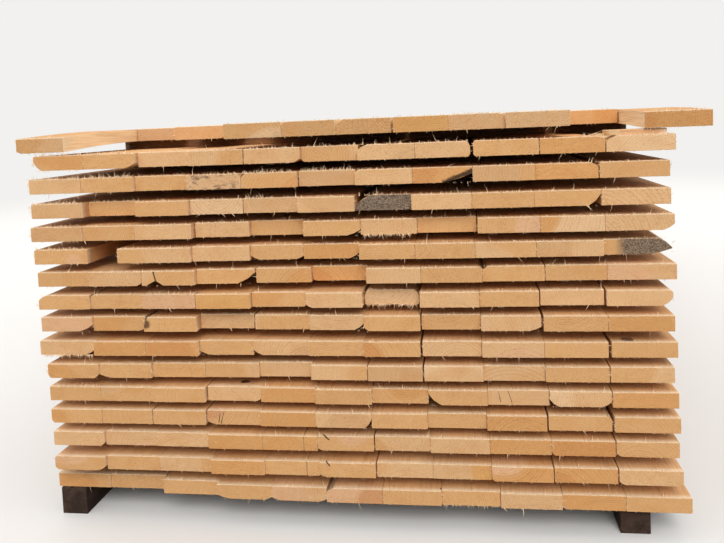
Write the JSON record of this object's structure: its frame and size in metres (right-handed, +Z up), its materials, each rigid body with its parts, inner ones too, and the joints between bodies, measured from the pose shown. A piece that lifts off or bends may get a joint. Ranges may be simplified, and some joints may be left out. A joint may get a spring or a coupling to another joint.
{
  "type": "stickered stack of sawn boards",
  "caption": "Stack of rough-sawn softwood boards in courses, kept apart by cross laths, on two lengthwise runners with cross bearers between them; end faces show wane, knots and splits.",
  "frame": {"origin": "centre of the stack's footprint, on the ground", "axes": "+Z up; the boards run along Y; the board ends seen in the picture face -Y; +X is to the right as seen from there"},
  "size_m": [1.1894, 3.014, 0.7201],
  "materials": {
    "boards": "rough-sawn fresh softwood, light orange-tan end grain, pale cream long faces",
    "laths": "rough-sawn softwood laths, pale to brown",
    "bearers": "weathered dark grey-brown softwood"
  },
  "bodies": {
    "root": {"board_course_01": "boards", "board_course_02": "boards", "board_course_03": "boards", "board_course_04": "boards", "board_course_05": "boards", "board_course_06": "boards", "board_course_07": "boards", "board_course_08": "boards", "board_course_09": "boards", "board_course_10": "boards", "board_course_11": "boards", "board_course_12": "boards", "board_course_13": "boards", "board_course_14": "boards", "board_course_15": "boards", "board_course_16": "boards", "lath_line_1": "laths", "lath_line_2": "laths", "lath_line_3": "laths", "lath_line_4": "laths", "lath_offcut": "laths", "cross_bearer_1": "bearers", "cross_bearer_2": "bearers", "cross_bearer_3": "bearers", "cross_bearer_4": "bearers", "runner_left": "bearers", "runner_right": "bearers"}
  },
  "joints": []
}
